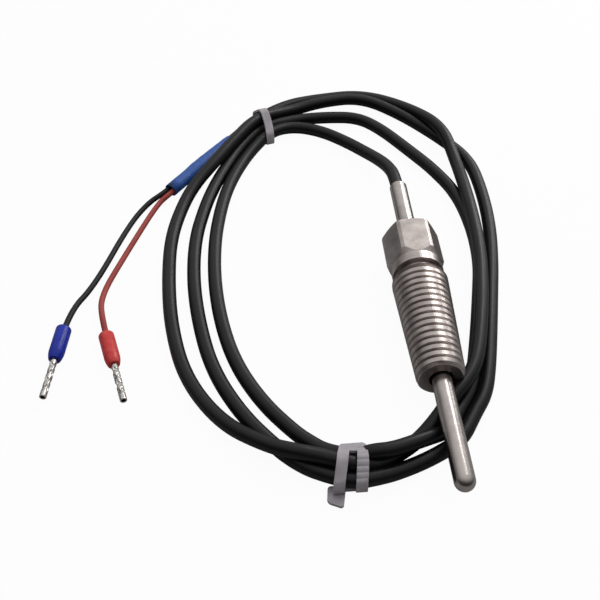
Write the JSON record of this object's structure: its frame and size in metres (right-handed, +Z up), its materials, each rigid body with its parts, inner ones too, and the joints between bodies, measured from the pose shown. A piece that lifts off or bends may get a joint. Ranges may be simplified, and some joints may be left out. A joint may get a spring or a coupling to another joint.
{
  "type": "temperature probe",
  "caption": "Resistance temperature probe: steel tube with a hexagon fitting and tapered thread, on a coiled black cable whose leads end in crimped ferrules.",
  "frame": {"origin": "on the probe's axis, at the collar's front face, where the undercut before the thread begins", "axes": "+Y along the probe's axis from the tip towards the cable, +Z up from the surface that the probe lies on, +X to the right with the tip towards the viewer"},
  "size_m": [0.1273, 0.1643, 0.0151],
  "materials": {
    "sheath_steel": "drawn stainless steel, fine lengthwise and round marks",
    "fitting_steel": "turned stainless steel with milled flats",
    "ceramic": "white fired ceramic",
    "filling": "white heat-conducting filling",
    "resin": "black potting resin",
    "element_wire": "bare element wire",
    "splice": "white insulating sleeve",
    "black_insulation": "black wire insulation",
    "red_insulation": "red wire insulation",
    "cable_jacket": "black cable jacket, satin",
    "heat_shrink": "blue heat-shrink tubing, matte",
    "blue_collar": "moulded blue plastic",
    "red_collar": "moulded red plastic",
    "tinned_copper": "bright tin plating",
    "copper_strands": "stranded copper",
    "tie_nylon": "milky white nylon"
  },
  "bodies": {
    "root": {"sheath_tube": "sheath_steel", "threaded_fitting": "fitting_steel", "rtd_element": "ceramic", "tip_filling": "filling", "cable_seal": "resin", "element_wire_black": "element_wire", "element_wire_red": "element_wire", "splice_sleeve_black": "splice", "splice_sleeve_red": "splice", "inner_core_black": "black_insulation", "inner_core_red": "red_insulation", "cable_entry": "cable_jacket", "cable_coil": "cable_jacket", "cable_tail": "cable_jacket", "heat_shrink": "heat_shrink", "black_lead": "black_insulation", "red_lead": "red_insulation", "blue_ferrule_sleeve": "blue_collar", "red_ferrule_sleeve": "red_collar", "blue_ferrule_pin": "tinned_copper", "red_ferrule_pin": "tinned_copper", "blue_ferrule_strands": "copper_strands", "red_ferrule_strands": "copper_strands", "tie_top": "tie_nylon", "tie_bottom": "tie_nylon"}
  },
  "joints": []
}
